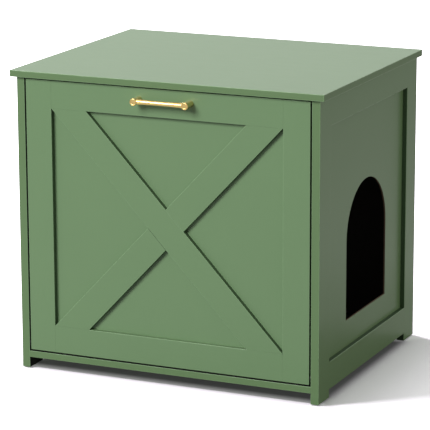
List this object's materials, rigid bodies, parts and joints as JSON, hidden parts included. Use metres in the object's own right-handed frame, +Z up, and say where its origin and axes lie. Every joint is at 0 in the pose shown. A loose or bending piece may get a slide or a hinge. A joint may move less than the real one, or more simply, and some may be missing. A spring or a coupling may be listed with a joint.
{
  "type": "cat litter box cabinet",
  "caption": "Wooden floor cabinet that hides a litter box, with an arched cat entrance in one side and a cross-braced drop-down front door with a bar handle.",
  "frame": {"origin": "centre of the floor area covered by the cabinet and its handle, on the floor", "axes": "+X to the right of someone facing the door, towards the arched entrance; +Y from the door to the back; +Z up"},
  "size_m": [0.6, 0.505, 0.55],
  "materials": {
    "painted_wood": "sage green satin paint",
    "painted_panel": "sage green satin paint on thin board",
    "brass": "brushed and lacquered",
    "steel": "zinc plated",
    "cam_steel": "die-cast, dull",
    "dark_plastic": "matt moulded",
    "white_plastic": "matt moulded"
  },
  "bodies": {
    "carcass": {"top_panel": "painted_wood", "base_panel": "painted_wood", "left_front_leg": "painted_wood", "left_rear_leg": "painted_wood", "left_top_rail": "painted_wood", "left_bottom_rail": "painted_wood", "right_front_leg": "painted_wood", "right_rear_leg": "painted_wood", "right_top_rail": "painted_wood", "right_bottom_rail": "painted_wood", "back_panel": "painted_panel", "left_panel": "painted_panel", "right_panel": "painted_panel", "left_catch_screw_1": "steel", "left_catch_screw_2": "steel", "left_catch": "white_plastic", "left_pivot_bush": "dark_plastic", "left_front_glide": "dark_plastic", "left_rear_glide": "dark_plastic", "left_top_front_cam_lock": "cam_steel", "left_top_front_cam_bolt": "steel", "left_top_rear_cam_lock": "cam_steel", "left_top_rear_cam_bolt": "steel", "left_base_front_cam_lock": "cam_steel", "left_base_front_cam_bolt": "steel", "left_base_rear_cam_lock": "cam_steel", "left_base_rear_cam_bolt": "steel", "right_catch_screw_1": "steel", "right_catch_screw_2": "steel", "right_catch": "white_plastic", "right_pivot_bush": "dark_plastic", "right_front_glide": "dark_plastic", "right_rear_glide": "dark_plastic", "right_top_front_cam_lock": "cam_steel", "right_top_front_cam_bolt": "steel", "right_top_rear_cam_lock": "cam_steel", "right_top_rear_cam_bolt": "steel", "right_base_front_cam_lock": "cam_steel", "right_base_front_cam_bolt": "steel", "right_base_rear_cam_lock": "cam_steel", "right_base_rear_cam_bolt": "steel"},
    "door": {"door_left_stile": "painted_wood", "door_right_stile": "painted_wood", "door_top_rail": "painted_wood", "door_bottom_rail": "painted_wood", "door_long_brace": "painted_wood", "door_upper_brace": "painted_wood", "door_lower_brace": "painted_wood", "door_panel": "painted_panel", "door_handle": "brass", "left_handle_screw": "steel", "left_pivot_pin": "steel", "left_strike_plate": "steel", "left_strike_screw": "steel", "right_handle_screw": "steel", "right_pivot_pin": "steel", "right_strike_plate": "steel", "right_strike_screw": "steel"}
  },
  "joints": [
    {"name": "door_hinge", "type": "hinge", "parent": "carcass", "child": "door", "pos_m": [0, -0.2215, 0.048], "axis": [1, 0, 0], "range_deg": [0, 90]}
  ]
}
